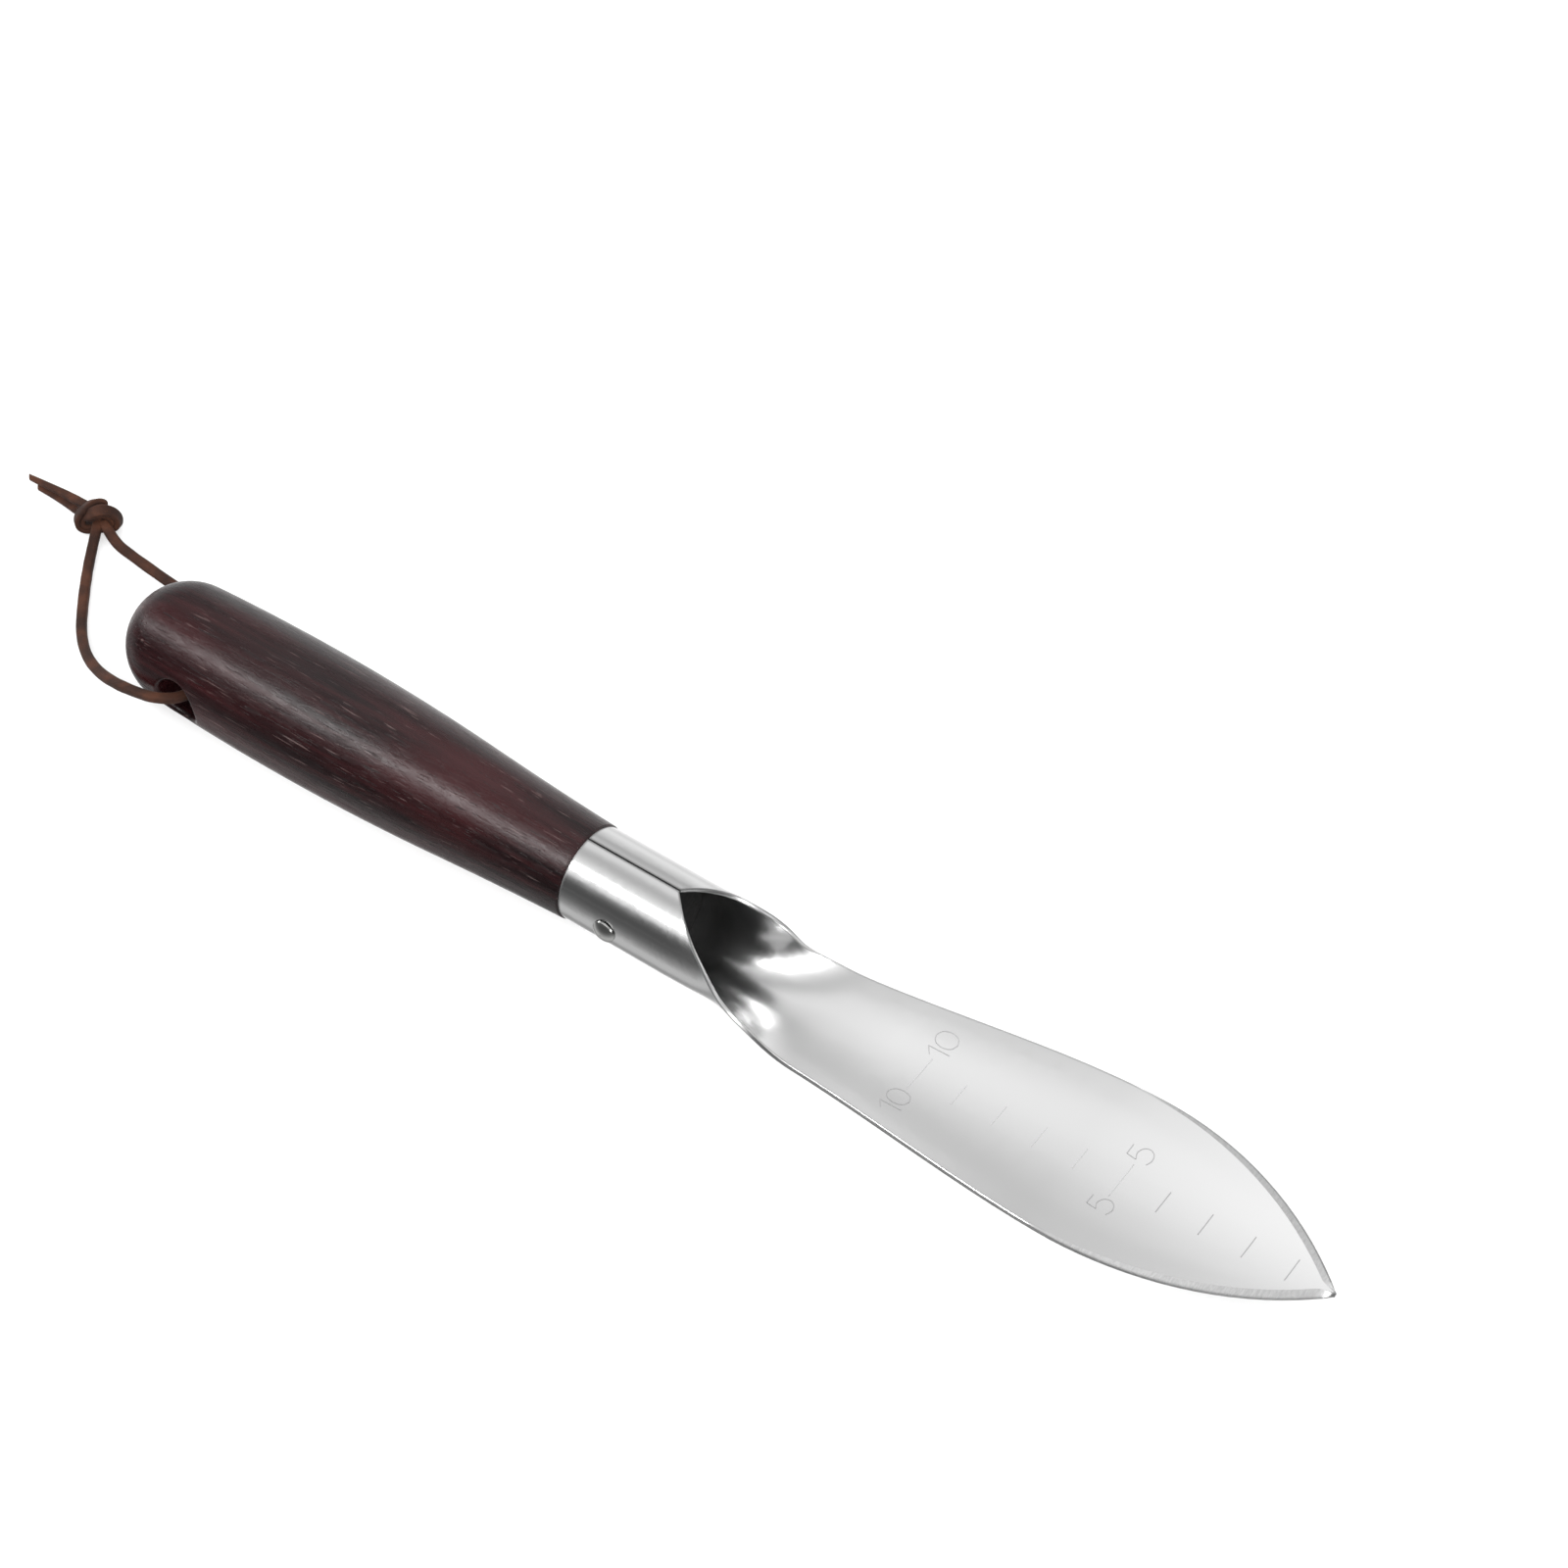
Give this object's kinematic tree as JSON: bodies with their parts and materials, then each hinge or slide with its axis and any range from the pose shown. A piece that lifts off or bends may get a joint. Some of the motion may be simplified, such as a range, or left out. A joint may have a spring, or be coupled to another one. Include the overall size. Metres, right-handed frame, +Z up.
{
  "type": "hand planting trowel",
  "caption": "Hand planting trowel: dished leaf-shaped blade with depth marks, rolled into a riveted socket on a turned wooden handle with a knotted leather hanging lace.",
  "frame": {"origin": "middle of the tool's length and width, on the surface that the handle lies on", "axes": "+X along the handle and socket towards the tip of the blade, +Z up, away from the surface, the dish of the blade facing up"},
  "size_m": [0.3894, 0.0537, 0.0315],
  "materials": {
    "blade_steel": "fine satin blade, polished socket",
    "rivet_steel": "polished",
    "handle_wood": "satin oil over an open grain",
    "lace_leather": "suede"
  },
  "bodies": {
    "tool": {"blade_socket": "blade_steel", "handle": "handle_wood", "rivet": "rivet_steel"},
    "lace": {"lanyard_near_strand": "lace_leather", "lanyard_far_strand": "lace_leather", "lanyard_knot": "lace_leather", "lanyard_tails": "lace_leather"}
  },
  "joints": [
    {"name": "lace_swing", "type": "hinge", "parent": "tool", "child": "lace", "pos_m": [-0.1371, 0, 0.01425], "axis": [0, 1, 0], "range_deg": [0, 150]}
  ]
}
